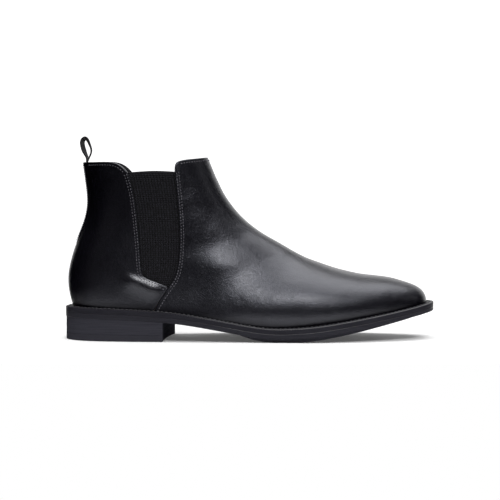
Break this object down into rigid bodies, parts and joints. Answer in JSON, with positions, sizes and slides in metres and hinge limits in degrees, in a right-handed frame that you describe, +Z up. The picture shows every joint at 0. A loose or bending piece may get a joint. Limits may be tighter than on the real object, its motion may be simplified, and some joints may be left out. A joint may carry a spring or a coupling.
{
  "type": "chelsea boot",
  "caption": "Ankle-high slip-on boot with elastic side panels, a back pull loop, a welted sole with a thin forepart tread and a low stacked heel.",
  "frame": {"origin": "on the floor, at the middle of the boot's bounding box in X and Y", "axes": "+X towards the toe, +Z up, -Y to the outer (lateral) side of this right-foot boot"},
  "size_m": [0.3048, 0.0984, 0.1672],
  "materials": {
    "upper_leather": "smooth semi-gloss black calf",
    "strip_leather": "smooth semi-gloss black calf",
    "elastic": "ribbed woven elastic, matt",
    "loop_tape": "woven tape, matt",
    "lining_leather": "soft matt lining leather",
    "sock_leather": "soft matt lining leather",
    "interlining_cloth": "woven cotton backer",
    "puff_thermoplastic": "thermoplastic sheet",
    "counter_board": "leatherboard",
    "insole_fibreboard": "cellulose fibreboard",
    "heel_foam": "latex foam",
    "filler_cork": "granulated cork",
    "shank_steel": "tempered steel strip",
    "rivet_steel": "plain steel",
    "nail_steel": "plain steel",
    "welt_leather": "edge-dressed black leather",
    "sole_leather": "edge-dressed black leather",
    "tread_rubber": "fine-textured rubber",
    "lift_leather": "edge-dressed black leatherboard",
    "top_piece_rubber": "hard rubber",
    "upper_thread": "waxed black thread",
    "welt_thread": "waxed grey thread"
  },
  "bodies": {
    "boot": {"vamp": "upper_leather", "lateral_quarter": "upper_leather", "medial_quarter": "upper_leather", "back_strip": "strip_leather", "lateral_gore": "elastic", "medial_gore": "elastic", "pull_loop_tail": "loop_tape", "vamp_lining": "lining_leather", "quarter_lining": "lining_leather", "insock": "sock_leather", "vamp_interlining": "interlining_cloth", "quarter_interlining": "interlining_cloth", "toe_puff": "puff_thermoplastic", "heel_counter": "counter_board", "insole_board": "insole_fibreboard", "heel_pad": "heel_foam", "bottom_filler": "filler_cork", "shank": "shank_steel", "shank_rivets": "rivet_steel", "heel_nails": "nail_steel", "top_piece_nails": "nail_steel", "welt": "welt_leather", "outsole": "sole_leather", "forepart_tread": "tread_rubber", "heel_lift_upper": "lift_leather", "heel_lift_middle": "lift_leather", "heel_lift_lower": "lift_leather", "heel_top_piece": "top_piece_rubber", "lateral_gore_stitching": "upper_thread", "medial_gore_stitching": "upper_thread", "side_seam_stitching": "upper_thread", "topline_stitching": "upper_thread", "back_strip_stitching": "upper_thread", "welt_stitching": "welt_thread"},
    "pull_loop": {"pull_loop": "loop_tape"}
  },
  "joints": [
    {"name": "pull_loop_fold", "type": "hinge", "parent": "boot", "child": "pull_loop", "pos_m": [-0.1355, -0.0013, 0.1476], "axis": [0, 1, 0], "range_deg": [-65, 80], "stiffness_Nm_per_rad": 0.002}
  ]
}
